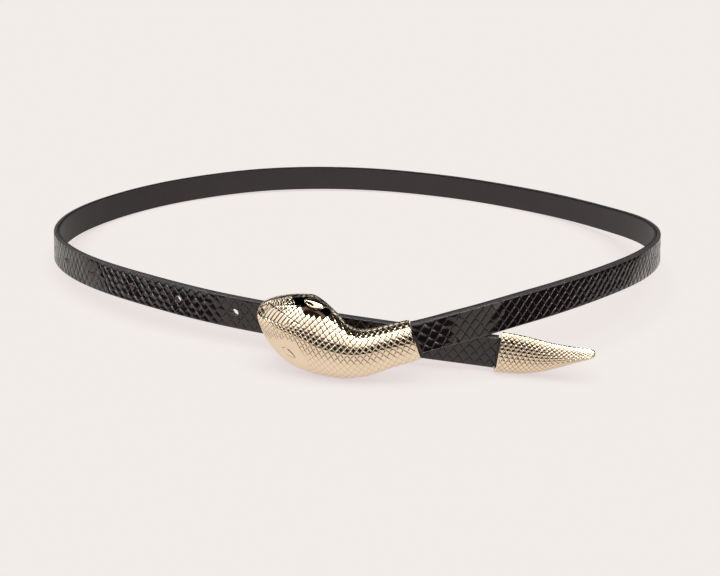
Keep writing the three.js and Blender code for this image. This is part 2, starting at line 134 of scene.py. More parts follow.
# Where the lines of a cell's small grid stand, in shares of the cell
EMBOSS_STOPS = (0, 0.02, 0.06, 0.1, 0.9, 0.94, 0.98, 1)
HEAD_STOPS = (0, 0.05, 0.11, 0.15, 0.85, 0.89, 0.95, 1)
TAIL_STOPS = (0, 0.05, 0.12, 0.2, 0.5, 0.8, 0.88, 0.95, 1)
# The tail's scales: columns along it, rows round it, bevel's share of a cell, painted shade in the grooves above the
# ridge
TAIL_COLUMNS = 19
TAIL_AROUND = 16
TAIL_BEVEL = 0.35
TAIL_GROOVE_SHADE = 0.45
# How the tail's skin closes at its two ends: share of the way to the middle, and mm ahead, of each step
MOUTH_STEPS = ((0.07, 0), (0.07, 0))
POINT_STEPS = ((0.15, 0.2), (0.6, 0.2), (1, 0))

# The camera: height over the layout's ground in mm, how far it looks down in degrees, lens in mm
CAMERA_HEIGHT = 176.6
CAMERA_DOWN = 21.82
CAMERA_LENS = 50
# Floors, in metres: name, front edge, back edge. Only the floor shows as a reflection, the apron before it doesn't
FLOORS = [("floor", -0.19, 5.0), ("floor_apron", -5.0, -0.19)]
FLOOR_WIDTH = 8
# The sky: strength, spread in degrees, tilt in degrees
SKY = (0.8, 70, 25)
# Soft lights, in metres: name, place, what it faces, size, brightness
LIGHTS = [
    ("overhead", (0.0, -0.75, 0.85), (0, -0.75, 0), (1.8, 0.8), 1.2),
    ("left panel", (-1.5, -0.55, 0.7), (0, 0, 0.1), (1.25, 0.94), 1.15),
    ("back panel", (0.0, 1.6, 1.0), (0, 0, 0), (2.4, 0.5), 1.1),
    ("back left panel", (-1.4, 0.9, 0.9), (0, 0, 0), (1.3, 0.9), 1.1),
    ("strip", (0.0, -0.45, 0.8), (0, -0.2, 0), (1.4, 0.15), 14.0),
    ("front panel", (-0.2, -1.4, 0.84), (0, 0, 0.1), (3.1, 0.78), 1.15),
]


def column(rows, place, which):
    """Smooth value of one column of a table at a place, through every row."""
    i = min(max(bisect_right(rows, place, key=lambda row: row[0]) - 1, 0), len(rows) - 2)

    def slope(k):
        before, after = rows[max(k - 1, 0)], rows[min(k + 1, len(rows) - 1)]
        return (after[which] - before[which]) / (after[0] - before[0])

    span = rows[i + 1][0] - rows[i][0]
    u = (place - rows[i][0]) / span
    start = (2 * u**3 - 3 * u**2 + 1) * rows[i][which] + (u**3 - 2 * u**2 + u) * span * slope(i)
    return start + (3 * u**2 - 2 * u**3) * rows[i + 1][which] + (u**3 - u**2) * span * slope(i + 1)


def straight(rows, place, which):
    """Value of one column of a table at a place, straight between its rows."""
    i = min(max(bisect_right(rows, place, key=lambda row: row[0]) - 1, 0), len(rows) - 2)
    u = (place - rows[i][0]) / (rows[i + 1][0] - rows[i][0])
    return rows[i][which] * (1 - u) + rows[i + 1][which] * u


def route_plan(step=0.5):
    """The route's x, y and heading at each step."""
    x, y, heading = START[0], START[1], math.radians(START[2])
    plan = []
    for k in range(int(ROUTE[-1][0] / step) + 1):
        plan.append((x, y, heading))
        bend = math.radians(column(ROUTE, (k + 0.5) * step, 1)) / 100
        middle = heading + bend * step / 2
        x += math.cos(middle) * step
        y += math.sin(middle) * step
        heading += bend * step
    return plan


PLAN = route_plan()


def strap_frame(at):
    """Place, along, across and inward on the strap's lower edge."""
    spot = min(max(at * 2, 0), len(PLAN) - 1.001)
    i = int(spot)
    x, y, heading = (a + (b - a) * (spot - i) for a, b in zip(PLAN[i], PLAN[i + 1]))
    along = Vector((math.cos(heading), math.sin(heading), 0))
    level = UP.cross(along)
    lean = math.radians(column(ROUTE, at, 3))
    across = level * math.sin(lean) + UP * math.cos(lean)
    inward = level * math.cos(lean) - UP * math.sin(lean)
    return Vector((x, y, column(ROUTE, at, 2))), along, across, inward


def strap_point(at, height, depth):
    """A point in the strap, in metres: along it, up its width, and inward from its outer face."""
    slant = straight(SLANTS, at, 1)
    place, _, across, inward = strap_frame(at + slant * (height - WIDTH / 2))
    return (place + across * height + inward * (depth - THICK / 2) - ORIGIN) * MM


def spine_frame(along):
    """Place and outward direction on the buckle's back."""
    x, y, start, end, length = SPINE
    start, bend = math.radians(start), math.radians(end - start) / length
    heading = start + bend * along
    place = Vector((x - (math.sin(heading) - math.sin(start)) / bend,
                    y + (math.cos(heading) - math.cos(start)) / bend, 0))
    return place, Vector((math.sin(heading), -math.cos(heading), 0))


HEAD_ROWS = [(k, *row) for k, row in enumerate(HEAD)]


def head_section(index):
    """Sizes of the head's section at a place in its table."""
    return [column(HEAD_ROWS, index, which) for which in range(1, 8)]


def head_surface(section, turn):
    """A point on the head: turn is -1 at the lower rim, 0 on the ridge and 1 at the upper rim."""
    high_along, high, low_along, low, keel, depth, full = section
    ridge = low + (high - low) * keel
    angle = turn * math.pi / 2
    rise = math.copysign(abs(math.sin(angle)) ** (2 / full), turn)
    off = RIM + (depth - RIM) * abs(math.cos(angle)) ** (2 / full)
    height = ridge + rise * ((high - ridge) if rise > 0 else (ridge - low))
    share = (height - low) / (high - low)
    place, outward = spine_frame(low_along + (high_along - low_along) * share)
    point = place + outward * off
    point.z = height
    return point


class HeadMap:
    """Maps distance along the head's ridge and over its surface from the ridge to places on the head."""

    STEPS = 24
    FINE = 20

    def __init__(self):
        self.sections = [head_section(k / self.FINE) for k in range((len(HEAD) - 1) * self.FINE + 1)]
        self.rows = []
        ridge = 0.0
        before = None
        for k in range(0, len(self.sections), 5):
            points = [head_surface(self.sections[k], t / self.STEPS) for t in range(-self.STEPS, self.STEPS + 1)]
            middle = points[self.STEPS]
            if before is not None:
                ridge += (middle - before).length
            before = middle
            arcs = [0.0]
            for a, b in zip(points, points[1:]):
                arcs.append(arcs[-1] + (b - a).length)
            self.rows.append((ridge, k / self.FINE, [arc - arcs[self.STEPS] for arc in arcs]))
        self.length = ridge

    def section(self, index):
        spot = min(max(index * self.FINE, 0), len(self.sections) - 1.001)
        i = int(spot)
        return [a + (b - a) * (spot - i) for a, b in zip(self.sections[i], self.sections[i + 1])]

    def turn_at(self, row, arc):
        arcs = self.rows[row][2]
        arc = min(max(arc, arcs[0]), arcs[-1])
        i = min(max(bisect_right(arcs, arc) - 1, 0), len(arcs) - 2)
        return (i + (arc - arcs[i]) / (arcs[i + 1] - arcs[i])) / self.STEPS - 1

    def find(self, along):
        i = min(max(bisect_right(self.rows, along, key=lambda row: row[0]) - 1, 0), len(self.rows) - 2)
        share = (along - self.rows[i][0]) / (self.rows[i + 1][0] - self.rows[i][0])
        return i, min(max(share, 0), 1)

    def rims(self, along):
        """How far the lower and the upper rim are from the ridge."""
        i, share = self.find(along)
        return [a + (b - a) * share for a, b in ((self.rows[i][2][k], self.rows[i + 1][2][k]) for k in (0, -1))]

    def index(self, along):
        i, share = self.find(along)
        return self.rows[i][1] + (self.rows[i + 1][1] - self.rows[i][1]) * share

    def place(self, along, arc, raised):
        i, share = self.find(along)
        index = self.index(along)
        turn = self.turn_at(i, arc) * (1 - share) + self.turn_at(i + 1, arc) * share
        here, near = min(max(index, 0.05), len(HEAD) - 1.05), min(max(turn, -0.97), 0.97)
        lengthwise = head_surface(self.section(here + 0.05), near) - head_surface(self.section(here - 0.05), near)
        section = self.section(here)
        crosswise = head_surface(section, near + 0.02) - head_surface(section, near - 0.02)
        normal = crosswise.cross(lengthwise).normalized()
        if normal.dot(spine_frame(section[2])[1]) < 0:
            normal.negate()
        return (head_surface(self.section(index), turn) + normal * raised - ORIGIN) * MM


HEAD_MAP = HeadMap()


def tail_point(along, turn, raised):
    """A point on the tail tip: turn goes once round from the middle of its back."""
    angle = 2 * math.pi * turn
    low, high, front, back = (column(TAIL, min(along, 36), which) for which in (1, 2, 3, 4))
    half = (high - low) / 2
    height = (low + high) / 2 - (half - 0.11 + raised) * math.sin(angle)
    ridge = low + (high - low) * TAIL_RIDGE[0]
    above = height > ridge
    rise = (height - ridge) / (high - ridge) if above else (ridge - height) / (ridge - low)
    full = TAIL_RIDGE[1 if above else 2]
    if math.cos(angle) > 0:
        depth = (back + raised) * math.cos(angle) ** 0.75
    else:
        depth = -(front + raised) * max(0, 1 - rise**full) ** (1 / full)
    corner = min(max(0, 1 - (height - low) / TAIL_FLARE[1]), 1) ** 2
    flare = TAIL_FLARE[0] * corner * max(0, 1 - along / TAIL_FLARE[2])
    slide = along + TAIL_SLANT * (1 - along / 36) * (height - WIDTH / 2) - flare
    place, forward, across, inward = strap_frame(TAIL_MOUTH)
    return (place + forward * slide + across * height + inward * depth - ORIGIN) * MM


class Wire:
    """A shader socket that adds Math nodes when it is used in a sum or a product."""

    def __init__(self, tree, socket):
        self.tree = tree
        self.socket = socket

    def maths(self, operation, *values):
        node = self.tree.nodes.new("ShaderNodeMath")
        node.operation = operation
        for slot, value in zip(node.inputs, values):
            if isinstance(value, Wire):
                self.tree.links.new(value.socket, slot)
            else:
                slot.default_value = value
        return Wire(self.tree, node.outputs[0])

    def __add__(self, other):
        return self.maths("ADD", self, other)

    def __radd__(self, other):
        return self.maths("ADD", other, self)

    def __rsub__(self, other):
        return self.maths("SUBTRACT", other, self)

    def __mul__(self, other):
        return self.maths("MULTIPLY", self, other)


class Finish:
    """A material under construction, with one Principled surface."""

    def __init__(self, name):
        self.material = bpy.data.materials.new(name)
        self.material.use_nodes = True
        self.tree = self.material.node_tree
        self.surface = self.tree.nodes["Principled BSDF"]

    def node(self, kind, settings=None, output=0, **sockets):
        made = self.tree.nodes.new("ShaderNode" + kind)
        for key, value in (settings or {}).items():
            if key == "stops":
                while len(made.color_ramp.elements) < len(value):
                    made.color_ramp.elements.new(0.5)
                for element, (position, colour) in zip(made.color_ramp.elements, value):
                    element.position = position
                    element.color = colour
            else:
                setattr(made, key, value)
        for key, value in sockets.items():
            slot = made.inputs[int(key[1:])] if key[0] == "i" and key[1:].isdigit() else made.inputs[key]
            self.feed(slot, value)
        return Wire(self.tree, made.outputs[output])

    def feed(self, slot, value):
        if isinstance(value, Wire):
            self.tree.links.new(value.socket, slot)
        else:
            slot.default_value = value

    def set(self, **sockets):
        for key, value in sockets.items():
            self.feed(self.surface.inputs[key.replace("_", " ")], value)
        return self

    def noise(self, scale, detail=2.0, roughness=0.5, where=None):
        vector = where or self.node("TexCoord", output=3)
        return self.node("TexNoise", Vector=vector, Scale=scale, Detail=detail, Roughness=roughness)

    def mix(self, factor, first, second):
        return self.node("Mix", {"data_type": "RGBA"}, output=2, i0=factor, i6=first, i7=second)

    def ramp(self, factor, *stops):
        return self.node("ValToRGB", {"stops": [(at, (v, v, v, 1)) for at, v in stops]}, Fac=factor)

    def bump(self, height, strength, distance):
        normal = self.node("Bump", Strength=strength, Distance=distance, Height=height)
        return self.set(Normal=normal)


def colour(rgb):
    return (*rgb, 1.0)


def patent_finish(base):
    """Embossed patent leather: a black coat under clear gloss with faint ripples."""
    f = Finish("patent leather")
    where = f.node("UVMap", {"uv_map": "strap"})
    raised = f.node("Attribute", {"attribute_name": "relief"}, output=2)
    cloud = f.noise(60, 3, 0.6, where)
    speck = f.noise(900, 2, 0.5, where)
    tone = f.ramp(cloud, (0.3, 0.0), (0.75, 1.0))
    f.set(Base_Color=f.mix(tone, colour(base), colour([c * 1.9 for c in base])))
    f.set(Roughness=0.46 - raised * 0.39 + speck * 0.04, Specular_IOR_Level=0.6)
    stretched = f.node("Mapping", {"vector_type": "POINT"}, Vector=where, Scale=(1.0, 0.25, 1.0))
    wrinkle = f.noise(700, 2, 0.4, stretched)
    ripple = f.noise(260, 2, 0.5, where)
    lean = f.node("Attribute", {"attribute_name": "lean"}, output=2)
    f.bump(lean * MM + (wrinkle * 0.6 + ripple) * 0.00006, 1.0, 1.0)
    return f.material


def edge_finish(base):
    """Painted cut edge of the strap: satin, a little uneven."""
    f = Finish("edge paint")
    cloud = f.noise(350, 3, 0.6)
    f.set(Base_Color=f.mix(f.ramp(cloud, (0.35, 0.0), (0.7, 1.0)), colour(base), colour([c * 1.5 for c in base])))
    f.set(Roughness=0.42 + cloud * 0.2)
    f.bump(f.noise(1500, 2, 0.5), 0.3, 0.0001)
    return f.material


def lining_finish(base):
    """Matte backing leather with a fine nap."""
    f = Finish("lining leather")
    where = f.node("UVMap", {"uv_map": "strap"})
    cloud = f.noise(45, 4, 0.6, where)
    grain = f.noise(2600, 3, 0.6, where)
    tone = f.ramp(cloud, (0.3, 0.0), (0.7, 1.0))
    fine = f.ramp(grain, (0.35, 0.0), (0.7, 1.0))
    soft = f.mix(tone, colour(base), colour([c * 1.35 for c in base]))
    f.set(Base_Color=f.mix(fine * 0.35, soft, colour([c * 1.8 for c in base])))
    f.set(Roughness=0.72 + grain * 0.2, Sheen_Weight=0.15, Sheen_Roughness=0.5)
    f.bump(grain, 0.45, 0.00015)
    return f.material


def gold_finish(base, dark):
    """Polished champagne gold plating, a little duller in the hollows. Painted shade darkens the hollows, the
    grooves above the ridge, the pupil and the nostril, and a painted dark reflection covers the smooth plate round
    the upper eye.
    """
    f = Finish("champagne gold")
    raised = f.node("Attribute", {"attribute_name": "relief"}, output=2)
    cloud = f.noise(90, 3, 0.6)
    fine = f.noise(1800, 2, 0.5)
    plain = f.mix(f.ramp(cloud, (0.35, 0.0), (0.7, 1.0)), colour(base), colour([c * 0.94 for c in base]))
    # Painted shade: where the relief is low, in the hollows between scales, the gold is mixed towards this darker
    # colour
    painted_recess_shade = colour([c * k for c, k in zip(base, (0.6, 0.56, 0.5))])
    # Painted shade and painted dark reflection: where the shade attribute reaches 1 the gold turns to the dark
    # colour
    shade = f.node("Attribute", {"attribute_name": "shade"}, output=2)
    f.set(Base_Color=f.mix(shade, f.mix(raised, painted_recess_shade, plain), colour(dark)))
    f.set(Metallic=1.0, Roughness=0.24 - raised * 0.15 + fine * 0.04)
    lean = f.node("Attribute", {"attribute_name": "lean"}, output=2)
    f.bump(lean * MM + fine * 0.000004, 1.0, 1.0)
    return f.material


def floor_finish(base, glow):
    """Pale studio floor, partly lit from within so that it stays even."""
    f = Finish("studio floor")
    f.set(Base_Color=colour(base), Roughness=0.9, Emission_Color=colour(glow), Emission_Strength=1.0)
    f.surface.inputs["Specular IOR Level"].default_value = 0.0
    return f.material


def scale_sheet(columns, low_row, high_row, stops, shape):
    """A sheet of diamond cells, each a small grid whose lines stand at the stops from edge to edge.

    shape gives a spot's place, its lean and its shade from its column, its row, its two shares across the cell
    and the cell's number. The lean is a height that only the gloss follows, and shade 1 is painted fully dark:
    painted shade in hollows and grooves, and a painted dark reflection on the smooth plate round the upper eye.
    """
    bm = bmesh.new()
    count = len(stops) - 1
    bmesh.ops.create_grid(bm, x_segments=count, y_segments=count, size=0.5)
    for vert in bm.verts:
        u, w = (stops[round((part + 0.5) * count)] for part in vert.co.xy)
        vert.co = Vector(((u + w) / 2, (u - w) / 2 + low_row, 0))
    bmesh.ops.reverse_faces(bm, faces=bm.faces[:])
    twin = bmesh.ops.duplicate(bm, geom=bm.verts[:] + bm.edges[:] + bm.faces[:])
    bmesh.ops.translate(bm, vec=(-0.5, 0.5, 0), verts=new_verts(twin))
    sheet = object_from(bm, "scales", [])
    for many, offset in ((columns + 1, (1, 0, 0)), (high_row - low_row, (0, 1, 0))):
        array = sheet.modifiers.new("rows", "ARRAY")
        array.use_relative_offset = False
        array.use_constant_offset = True
        array.constant_offset_displace = offset
        array.count = many
    bm = settled(sheet)
    bmesh.ops.remove_doubles(bm, verts=bm.verts, dist=1e-4)
    lean, shade = bm.verts.layers.float.new("lean"), bm.verts.layers.float.new("shade")
    for vert in bm.verts:
        s, t = vert.co.xy
        u, w = s + t, s - t
        across, along = math.floor(u + 1e-4), math.floor(w + 1e-4)
        du, dw = u - across - 0.5, w - along - 0.5
        vert.co, vert[lean], vert[shade] = shape(s, t, du, dw, (across + along + 1, across - along))
    return bm


def trim(bm, place, direction):
    """Cuts away what lies beyond a plane."""
    geom = bm.verts[:] + bm.edges[:] + bm.faces[:]
    bmesh.ops.bisect_plane(bm, geom=geom, dist=1e-6, plane_co=place, plane_no=direction, clear_outer=True)


def ease(value):
    value = min(max(value, 0), 1)
    return value * value * (3 - 2 * value)


def tile(du, dw, bevel):
    """Height of a flat diamond with bevelled edges, and how near its edge a spot is."""
    reach = (abs(2 * du) ** CORNERS + abs(2 * dw) ** CORNERS) ** (1 / CORNERS)
    return ease((1 - reach) / bevel), reach


def inside(outline, x, y):
    """Whether a place lies inside an outline."""
    found = False
    for (ax, ay), (bx, by) in zip(outline, outline[1:] + outline[:1]):
        if (ay > y) != (by > y) and x < ax + (bx - ax) * (y - ay) / (by - ay):
            found = not found
    return found


def new_verts(result):
    return [item for item in result["geom"] if isinstance(item, bmesh.types.BMVert)]


def object_from(bm, name, materials):
    mesh = bpy.data.meshes.new(name)
    bm.to_mesh(mesh)
    bm.free()
    made = bpy.data.objects.new(name, mesh)
    bpy.context.scene.collection.objects.link(made)
    for material in materials:
        mesh.materials.append(material)
    return made


def settled(obj):
    """The object's mesh with its modifiers applied, as a bmesh, and the object gone."""
    graph = bpy.context.evaluated_depsgraph_get()
    bm = bmesh.new()
    bm.from_mesh(obj.evaluated_get(graph).to_mesh())
    obj.evaluated_get(graph).to_mesh_clear()
    bpy.data.objects.remove(obj)
    return bm


def smooth_shading(obj, degrees):
    for polygon in obj.data.polygons:
        polygon.use_smooth = True
    obj.data.set_sharp_from_angle(angle=math.radians(degrees))


def keep(obj, node):
    """Puts a finished piece on the belt in place of a plain solid."""
    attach(obj, "root")
    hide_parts(node)


def cut_opening(bm, middle, reach, planes):
    """Opens a hole in a flat sheet: what lies inside all of the planes."""
    faces = [face for face in bm.faces if (face.calc_center_median().xy - middle).length < reach]
    geom = list({item for face in faces for item in (face, *face.edges, *face.verts)})
    for place, direction in planes:
        geom = bmesh.ops.bisect_plane(
            bm, geom=geom, dist=1e-5, plane_co=(*place, 0), plane_no=(*direction, 0))["geom"]
    gone = []
    for face in (item for item in geom if isinstance(item, bmesh.types.BMFace)):
        centre = face.calc_center_median().xy
        if all((centre - Vector(place)).dot(Vector(direction)) < 0 for place, direction in planes):
            gone.append(face)
    bmesh.ops.delete(bm, geom=gone, context="FACES")


def punch(bm, radius):
    """Opens the stud holes and their slits in a flat sheet."""
    for at in HOLES:
        middle = Vector((at, HOLE_HEIGHT))
        turns = [2 * math.pi * k / 28 for k in range(28)]
        ring = [(middle + Vector((math.cos(t), math.sin(t))) * radius, (math.cos(t), math.sin(t))) for t in turns]
        cut_opening(bm, middle, 5, ring)
        slit = [(middle - Vector((SLIT[0], 0)), (-1, 0)), (middle, (1, 0)),
                (middle + Vector((0, SLIT[1] / 2)), (0, 1)), (middle - Vector((0, SLIT[1] / 2)), (0, -1))]
        cut_opening(bm, middle, 8, slit)


def flat_sheet(run, low, high, level):
    """A plain flat sheet of the strap, in millimetres."""
    bm = bmesh.new()
    place = Matrix.Translation(((run[0] + run[1]) / 2, (low + high) / 2, level))
    bmesh.ops.create_grid(bm, x_segments=int((run[1] - run[0]) / 2.5), y_segments=4, size=0.5,
                          matrix=place @ Matrix.Diagonal((run[1] - run[0], high - low, 1, 1)))
    return bm


def append(bm, other):
    """Adds another bmesh's faces."""
    mesh = bpy.data.meshes.new("part")
    other.to_mesh(mesh)
    other.free()
    bm.from_mesh(mesh)
    bpy.data.meshes.remove(mesh)


def close_ply(bm, levels, back, radius):
    """Gives a punched sheet its sides, down to a back sheet. levels: height, outward spread."""
    relief = bm.verts.layers.float.get("relief")
    middle = WIDTH / 2
    for level, spread in levels:
        rim = [edge for edge in bm.edges if edge.is_boundary]
        made = bmesh.ops.extrude_edge_only(bm, edges=rim)
        for vert in new_verts(made):
            vert.co.z = min(level, vert.co.z) if level > -0.2 else level
            if abs(vert.co.y - middle) > 5.5:
                vert.co.y = middle + math.copysign(spread, vert.co.y - middle)
            if relief:
                vert[relief] = 1
        for face in (item for item in made["geom"] if isinstance(item, bmesh.types.BMFace)):
            centre = face.calc_center_median()
            hole = abs(centre.y - middle) < 3 and HOLES[0] - 10 < centre.x < HOLES[-1] + 10
            face.material_index = 2 if hole else 1
    punch(back, radius)
    bmesh.ops.reverse_faces(back, faces=back.faces[:])
    append(bm, back)


def lay_flat_map(bm):
    """A map that keeps each spot's place along and across the strap."""
    layer = bm.loops.layers.uv.get("strap") or bm.loops.layers.uv.new("strap")
    for face in bm.faces:
        for loop in face.loops:
            loop[layer].uv = (loop.vert.co.x * MM, loop.vert.co.y * MM)


def bend_on_route(bm):
    for vert in bm.verts:
        vert.co = strap_point(vert.co.x, vert.co.y, -vert.co.z)


def add_tongues(bm, top, bottom, inset):
    for start, end, low, high in TONGUES:
        size = Vector((end - start, high - low - 2 * inset, top - bottom))
        middle = Vector(((start + end) / 2, (low + high) / 2, (top + bottom) / 2))
        bmesh.ops.create_cube(bm, size=1, matrix=Matrix.Translation(middle) @ Matrix.Diagonal((*size, 1)))


def amount(name, about, value):
    return FloatProperty(name=name, description=about, default=value)


def paint(name, about, rgb):
    return FloatVectorProperty(name=name, description=about, subtype="COLOR", default=rgb)


class BELT_PG_sizes(bpy.types.PropertyGroup):
    cell_length: amount("Emboss cell length", "Length of an embossed scale along the strap, in mm", 4.1)
    cell_height: amount("Emboss cell height", "Height of an embossed scale across the strap, in mm", 5.9)
    groove: amount("Groove depth", "Depth of the grooves between embossed scales, in mm", 0.3)
    wobble: amount("Wobble", "How far the embossed scales' corners stray, in mm", 0.34)
    scale_height: amount("Cast scale height", "How far the cast scales stand up, in mm", 0.24)
    seed: IntProperty(name="Seed", description="Start of the irregular emboss", default=7)


class BELT_PG_colours(bpy.types.PropertyGroup):
    patent: paint("Patent leather", "Colour of the strap's face", (0.011, 0.006, 0.006))
    edge: paint("Edge paint", "Colour of the strap's cut edges", (0.1, 0.09, 0.091))
    cut: paint("Cut leather", "Colour inside the stud holes", (0.3, 0.22, 0.2))
    lining: paint("Lining", "Colour of the strap's backing", (0.024, 0.0175, 0.0175))
    gold: paint("Gold", "Colour of the cast metal", (0.92, 0.75, 0.56))
    # Painted shade and painted dark reflection: this dark colour is painted on the smooth plate round the upper eye
    # in place of the dark surroundings it reflects, and in the grooves above the ridge, the pupil and the nostril in
    # place of their shade
    painted_shade_and_reflection: paint("Brow", "Colour of the dark brow round the snake's eye", (0.011, 0.0065, 0.0045))
    floor: paint("Floor", "Colour of the studio floor where the light falls", (0.7, 0.9, 0.735))
    floor_glow: paint("Floor glow", "Colour that the studio floor keeps in the shade", (0.712, 0.622, 0.625))


class BELT_OT_strap_face(bpy.types.Operator):
    """Build the patent leather face of the strap with its snakeskin emboss"""

    bl_idname = "belt.strap_face"
    bl_label = "Strap face"

    def execute(self, context):
        sizes, colours = context.scene.belt_sizes, context.scene.belt_colours
        random.seed(sizes.seed)
        materials = [patent_finish(colours.patent), edge_finish(colours.edge), edge_finish(colours.cut)]
        run = TAIL_SHOULDER - NECK_SHOULDER
        count = round(run / sizes.cell_length)
        strays = {}
        tilts = {}

        def stray(u, w):
            if (u, w) not in strays:
                strays[u, w] = Vector((random.uniform(-1, 1), random.uniform(-1, 1) * 0.8)) * sizes.wobble
            return strays[u, w]

        def shape(s, t, du, dw, cell):
            u, w = (cell[0] + cell[1] - 1) // 2, (cell[0] - cell[1] - 1) // 2
            a, b = du + 0.5, dw + 0.5
            shift = ((stray(u, w) * (1 - a) + stray(u + 1, w) * a) * (1 - b)
                     + (stray(u, w + 1) * (1 - a) + stray(u + 1, w + 1) * a) * b)
            if cell not in tilts:
                tilts[cell] = Vector([random.uniform(-1, 1) for _ in range(3)])
            tilt = tilts[cell]
            body, reach = tile(du, dw, EMBOSS_BEVEL)
            dome = EMBOSS_DOME * max(1 - reach * reach, 0)
            level = -sizes.groove + (sizes.groove - EMBOSS_DOME) * body + dome
            level += body * (tilt.x * du + tilt.y * dw + tilt.z * 0.3) * EMBOSS_TILT
            at, height = NECK_SHOULDER + s * run / count + shift.x, WIDTH / 2 + t * sizes.cell_height + shift.y
            lean = (WIDTH / 2 - height) * straight(CURL, min(max(at, 0), CURL[-1][0]), 1)
            return Vector((at, height, level)), lean, 0

        bm = scale_sheet(count, -2, 2, EMBOSS_STOPS, shape)
        trim(bm, (NECK_SHOULDER, 0, 0), (-1, 0, 0))
        trim(bm, (TAIL_SHOULDER, 0, 0), (1, 0, 0))
        trim(bm, (0, EMBOSS_MARGIN, 0), (0, -1, 0))
        trim(bm, (0, WIDTH - EMBOSS_MARGIN, 0), (0, 1, 0))
        relief = bm.verts.layers.float.new("relief")
        for vert in bm.verts:
            vert[relief] = ease(1 + vert.co.z / sizes.groove)
        punch(bm, HOLE_RADIUS)
        half = WIDTH / 2
        close_ply(bm, ((-0.12, half - 0.2), (-0.4, half), (-FACE, half)),
                  flat_sheet((NECK_SHOULDER, TAIL_SHOULDER), 0, WIDTH, -FACE), HOLE_RADIUS)
        add_tongues(bm, -0.5, -FACE + 0.05, 0)
        lay_flat_map(bm)
        bend_on_route(bm)
        strap = object_from(bm, "patent_strap", materials)
        smooth_shading(strap, 50)
        keep(strap, "strap_face")
        return {"FINISHED"}


class BELT_OT_lining(bpy.types.Operator):
    """Build the strap's matte lining"""

    bl_idname = "belt.lining"
    bl_label = "Lining"

    def execute(self, context):
        colours = context.scene.belt_colours
        materials = [lining_finish(colours.lining), edge_finish([c * 0.8 for c in colours.lining]),
                     edge_finish(colours.cut)]
        run = (NECK_SHOULDER, TAIL_SHOULDER)
        low, high = LINING_INSET, WIDTH - LINING_INSET
        top, bottom = -(FACE + GLUE), -THICK
        bm = flat_sheet(run, low, high, top)
        punch(bm, LINING_HOLE_RADIUS)
        close_ply(bm, ((bottom, WIDTH / 2 - LINING_INSET),), flat_sheet(run, low, high, bottom), LINING_HOLE_RADIUS)
        add_tongues(bm, top - 0.05, bottom + 0.05, LINING_INSET)
        lay_flat_map(bm)
        bend_on_route(bm)
        lining = object_from(bm, "matte_lining", materials)
        smooth_shading(lining, 50)
        keep(lining, "strap_lining")
        return {"FINISHED"}


def carry_body(bm, node, shrink):
    """Adds a merged copy of a plain solid, drawn in a little under the skin that covers it."""
    body = bmesh.new()
    body.from_mesh(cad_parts[node].data)
    bmesh.ops.remove_doubles(body, verts=body.verts, dist=2e-6)
    relief = body.verts.layers.float.new("relief")
    body.normal_update()
    moves = [(vert, shrink(vert)) for vert in body.verts]
    for vert, move in moves:
        vert.co += move
        vert[relief] = 1
    append(bm, body)


# Smooth plates among the head's scales, as outlines of mm along the ridge and mm up from it
UPPER_PATCH = [(55.0, 20.5), (51.6, 16.5), (49.0, 14.3), (46.0, 12.8), (42.4, 12.3), (38.6, 13.0), (35.6, 14.8),
               (32.6, 18.0), (32.6, 23.0), (55.0, 23.0)]
LOWER_PATCH = [(65.4, -6.2), (58.3, -2.6), (53.2, -0.4), (50.4, 1.4), (48.1, 0.7), (46.0, -1.2), (43.5, -2.8),
               (41.9, -4.7), (41.0, -7.5), (41.3, -10.4), (44.0, -13.0), (50.0, -20.0), (68.0, -14.0)]
SNOUT_PLATE = [(66.6, 5.0), (60.9, 10.0), (57.2, 9.6), (54.0, 9.3), (50.9, 8.5), (46.7, 7.8), (51.6, 5.7),
               (55.0, 4.2), (58.3, 3.9), (61.9, 3.7), (66.0, 2.0)]
# Raised eyes: middle along, middle up, half length, half height, tilt, how far raised
UPPER_EYE = (41.8, 17.9, 5.0, 2.6, -0.15, 0.5)
LOWER_EYE = (50.7, -5.8, 3.1, 1.5, 0.3, 0.22)
PUPIL = (43.9, 16.6, 2.3, 0.55, 0.1)
NOSTRIL = (63.9, 5.7, 1.5, 0.9, 0.3)
# Rope-like rows on top of the snout: start along, start up, end along, end up
ROPES = [(60.9, 11.3, 50.9, 16.9), (59.6, 10.6, 50.1, 15.3), (58.1, 10.2, 48.6, 14.3)]
# Creases along the snout: the mouth side's upper edge, and the line back from it
CREASES = [(66.6, 5.6, 61.5, 10.0), (61.5, 10.0, 54.0, 9.3), (54.0, 9.3, 46.0, 7.6)]
# The gloss above the ridge on the crown faces upwards: slope, and from how far up and along, over what length
CROWN_LEAN = 0.17
CROWN = (2.5, 26, 10)
# How much painted shade darkens the grooves above the ridge, and the width of the rim along the top that is left out
# of the painted dark reflection on the upper plate
GROOVE_SHADE = 0.75
BRIGHT_RIM = 0.9
# The head's scales: bevel's share of a cell, and how much of the head's own curve is taken out of each facet
HEAD_BEVEL = 0.24
FLATTENING = 0.9
# How deep the smooth plates lie under the scales' tops
PLATE_DEPTH = 0.02
# Edges longer than this get more cuts where something finer than the scales is carved
DETAIL_EDGE = 0.3
DETAIL_CUTS = 5
# Hatching on the snout plate: depth, pitch, and its direction's shares along and up
HATCH = (0.12, 1.5, 0.9, 0.5)
# A rope row: half width, length of a bead, height
ROPE = (0.6, 1.3, 0.2)
# A crease: half width, depth
CREASE = (0.35, 0.22)
RING_DEPTH = 0.2
PUPIL_DEPTH = 0.5
NOSTRIL_DEPTH = 0.7


def almond(eye, along, arc):
    """1 in the middle of an almond shape, 0 on its outline, less outside."""
    x, y = along - eye[0], arc - eye[1]
    x, y = x, y - eye[4] * x
    return 1 - (x / eye[2]) ** 2 - abs(y) / eye[3]


